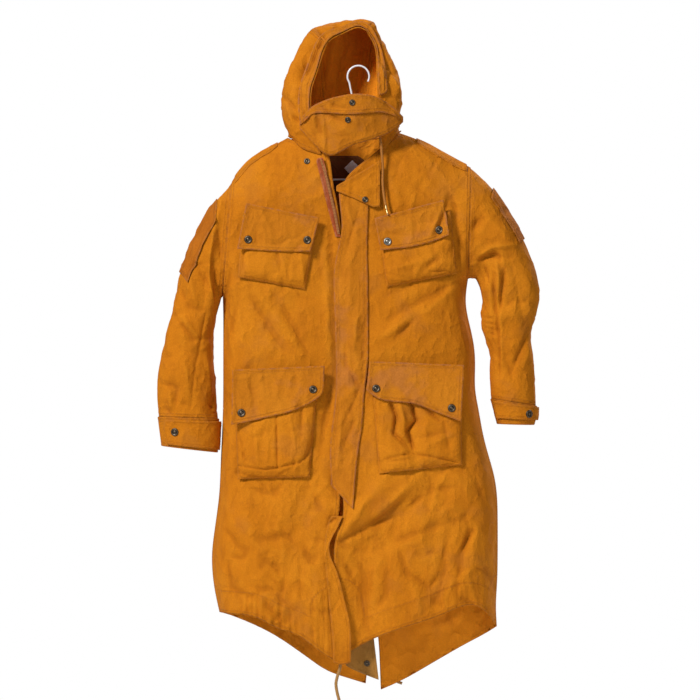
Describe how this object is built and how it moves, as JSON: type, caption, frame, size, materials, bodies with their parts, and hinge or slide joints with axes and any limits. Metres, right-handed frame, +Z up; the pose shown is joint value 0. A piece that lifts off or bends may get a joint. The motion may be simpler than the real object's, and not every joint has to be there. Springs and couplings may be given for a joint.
{
  "type": "canvas parka on a wire hanger",
  "caption": "Long hooded canvas field parka with flapped pockets and a split tail, hanging open-necked on a coated wire hanger.",
  "frame": {"origin": "the inside of the hanger's hook, at its highest point, where a rail or a nail holds it", "axes": "+Z up, -Y out of the parka's front, +X towards the wearer's left"},
  "size_m": [0.8084, 0.2294, 1.4837],
  "materials": {
    "canvas": "washed mustard cotton canvas, matt",
    "worn_canvas": "darker worn canvas patches",
    "facing": "olive brown canvas facing",
    "zip_tape": "red-brown woven tape",
    "neck_twill": "dark brown twill",
    "label": "pale woven label, bare",
    "snap_metal": "aged, darkened brass",
    "cord": "braided cord",
    "cord_end": "bright crimped end",
    "coated_wire": "white plastic-coated steel wire"
  },
  "bodies": {
    "root": {"arm_patch_left": "worn_canvas", "arm_patch_right": "worn_canvas", "back": "canvas", "chest_flap_left": "canvas", "chest_flap_right": "canvas", "chest_pocket_left": "canvas", "chest_pocket_right": "canvas", "collar_tab": "canvas", "cuff_left": "canvas", "cuff_right": "canvas", "cuff_tab_left": "canvas", "cuff_tab_right": "canvas", "edge_strip": "canvas", "epaulette_left": "canvas", "epaulette_right": "canvas", "front_left": "canvas", "front_right": "canvas", "hanger": "coated_wire", "hem_cord": "cord", "hem_cord_knot": "cord", "hood_brim": "canvas", "hood_centre": "canvas", "hood_cord": "cord", "hood_cord_end": "cord_end", "hood_left": "canvas", "hood_right": "canvas", "lower_flap_left": "canvas", "lower_flap_right": "canvas", "lower_pocket_left": "canvas", "lower_pocket_right": "canvas", "neck_label": "label", "neck_patch": "neck_twill", "placket": "canvas", "sleeve_left": "canvas", "sleeve_right": "canvas", "snap_chest_left_inner": "snap_metal", "snap_chest_left_outer": "snap_metal", "snap_chest_right_inner": "snap_metal", "snap_chest_right_outer": "snap_metal", "snap_collar_tab": "snap_metal", "snap_cuff_left": "snap_metal", "snap_cuff_right": "snap_metal", "snap_hem": "snap_metal", "snap_lower_left_inner": "snap_metal", "snap_lower_left_outer": "snap_metal", "snap_lower_right_inner": "snap_metal", "snap_lower_right_outer": "snap_metal", "snap_neck": "snap_metal", "snap_throat_lower": "snap_metal", "snap_throat_upper": "snap_metal", "tail_cord": "cord", "throat_flap": "canvas", "throat_flap_upper": "canvas", "underlap": "facing", "zip_tape": "zip_tape"}
  },
  "joints": []
}
